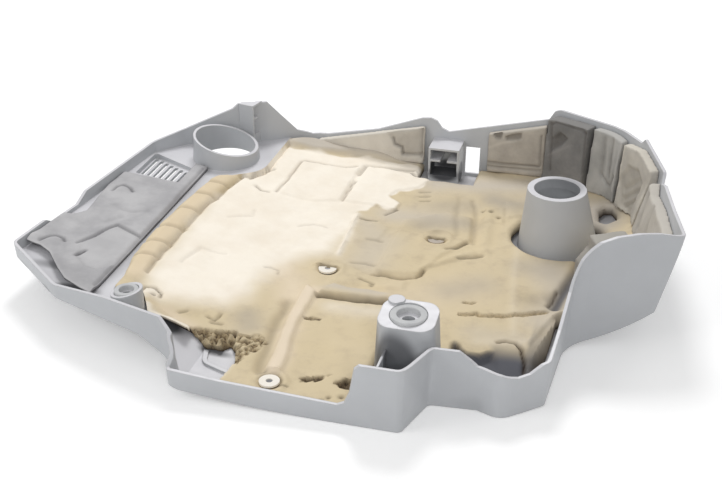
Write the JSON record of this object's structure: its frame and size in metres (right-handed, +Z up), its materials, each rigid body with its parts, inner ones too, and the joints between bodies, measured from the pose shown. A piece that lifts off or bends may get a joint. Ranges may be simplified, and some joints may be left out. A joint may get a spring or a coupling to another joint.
{
  "type": "engine cover",
  "caption": "Moulded engine cover lying inside up, with sound foam, wall pads, a filler collar, a leaning cone tower, clip boxes and bolt towers.",
  "frame": {"origin": "under the middle of the cover, on the surface it lies on", "axes": "+Z up, from the outer face to the engine side; +X to the right and -Y to the viewer in the picture"},
  "size_m": [0.56, 0.4586, 0.1025],
  "materials": {
    "shell_plastic": "satin moulded grain",
    "tan_foam": "open-cell foam, discoloured",
    "grey_foam": "foam with felt skin",
    "wall_foam": "foam with felt skin",
    "rubber": "dusty",
    "washer_plastic": "matte"
  },
  "bodies": {
    "root": {"cover_shell": "shell_plastic", "main_foam_pad": "tan_foam", "left_foam_pad": "grey_foam", "back_wall_pad_left": "wall_foam", "back_wall_pad_mid": "wall_foam", "back_wall_pad_right": "wall_foam", "corner_wall_pad": "wall_foam", "right_back_pad": "wall_foam", "right_wall_pad": "wall_foam", "right_end_pad": "wall_foam", "front_grommet": "rubber", "left_grommet": "rubber", "retaining_washer_1": "washer_plastic", "retaining_washer_2": "washer_plastic", "retaining_washer_3": "washer_plastic"}
  },
  "joints": []
}
